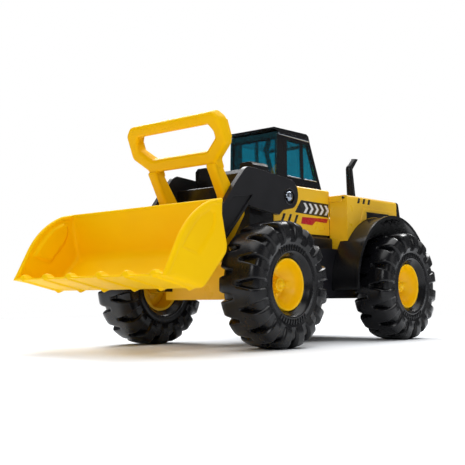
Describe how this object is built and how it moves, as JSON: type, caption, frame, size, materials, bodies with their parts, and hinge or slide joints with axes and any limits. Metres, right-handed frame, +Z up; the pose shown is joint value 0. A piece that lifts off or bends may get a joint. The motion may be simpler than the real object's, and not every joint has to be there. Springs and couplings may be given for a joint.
{
  "type": "toy front loader",
  "caption": "Pressed-steel and plastic toy wheel loader with a lifting, tipping bucket, grip handle, glazed cab and rolling tyres.",
  "frame": {"origin": "on the ground under the middle of the outline", "axes": "+X forward towards the bucket, +Y to the toy's left, +Z up"},
  "size_m": [0.5316, 0.252, 0.267],
  "materials": {
    "tyre_black": "semi-gloss moulded, deep tread",
    "hub_yellow": "smooth moulded",
    "bucket_yellow": "fine moulded grain",
    "body_paint": "gloss enamel on pressed steel",
    "glazing": "clear tinted",
    "black_gloss": "gloss moulded",
    "black_satin": "satin moulded",
    "chrome_cap": "bright plated",
    "steel": "bright zinc"
  },
  "bodies": {
    "root": {"arm_pivot_cap_left": "chrome_cap", "arm_pivot_cap_right": "chrome_cap", "arm_pivot_rod": "steel", "axle_bush_front_left": "black_satin", "axle_bush_front_right": "black_satin", "axle_bush_rear_left": "black_satin", "axle_bush_rear_right": "black_satin", "axle_cap_front_left": "chrome_cap", "axle_cap_front_right": "chrome_cap", "axle_cap_rear_left": "chrome_cap", "axle_cap_rear_right": "chrome_cap", "cab_base_shell": "body_paint", "cab_frame": "black_gloss", "cab_glazing": "glazing", "chassis_frame": "black_satin", "cover_screws": "steel", "engine_hood_shell": "body_paint", "exhaust_stack": "black_satin", "fender_left": "black_gloss", "fender_right": "black_gloss", "front_axle": "steel", "front_console": "black_gloss", "nose_panel": "body_paint", "pivot_spacer_left": "black_satin", "pivot_spacer_right": "black_satin", "rear_axle": "steel", "rear_grille": "black_gloss", "side_sill_left": "black_satin", "side_sill_right": "black_satin", "underbody_cover": "black_satin", "vent_insert_left": "black_satin", "vent_insert_right": "black_satin"},
    "arms": {"arm_crossbar": "black_gloss", "bucket_pivot_cap_left": "chrome_cap", "bucket_pivot_cap_right": "chrome_cap", "bucket_pivot_rod": "steel", "crossbar_screws": "steel", "lift_arm_left": "black_gloss", "lift_arm_right": "black_gloss"},
    "bucket": {"bucket_handle": "bucket_yellow", "bucket_shell": "bucket_yellow", "handle_screws": "steel"},
    "wheel_front_left": {"hub_front_left": "hub_yellow", "tyre_front_left": "tyre_black"},
    "wheel_front_right": {"hub_front_right": "hub_yellow", "tyre_front_right": "tyre_black"},
    "wheel_rear_left": {"hub_rear_left": "hub_yellow", "tyre_rear_left": "tyre_black"},
    "wheel_rear_right": {"hub_rear_right": "hub_yellow", "tyre_rear_right": "tyre_black"}
  },
  "joints": [
    {"name": "arm_lift", "type": "hinge", "parent": "root", "child": "arms", "pos_m": [-0.0025, 0, 0.178], "axis": [0, -1, 0], "range_deg": [-12, 45]},
    {"name": "bucket_tilt", "type": "hinge", "parent": "arms", "child": "bucket", "pos_m": [0.1575, 0, 0.092], "axis": [0, 1, 0], "range_deg": [-8, 65]},
    {"name": "front_left_roll", "type": "hinge", "parent": "root", "child": "wheel_front_left", "pos_m": [0.0755, 0.099, 0.07], "axis": [0, 1, 0], "continuous": true},
    {"name": "front_right_roll", "type": "hinge", "parent": "root", "child": "wheel_front_right", "pos_m": [0.0755, -0.099, 0.07], "axis": [0, 1, 0], "continuous": true},
    {"name": "rear_left_roll", "type": "hinge", "parent": "root", "child": "wheel_rear_left", "pos_m": [-0.1835, 0.099, 0.07], "axis": [0, 1, 0], "continuous": true},
    {"name": "rear_right_roll", "type": "hinge", "parent": "root", "child": "wheel_rear_right", "pos_m": [-0.1835, -0.099, 0.07], "axis": [0, 1, 0], "continuous": true}
  ]
}
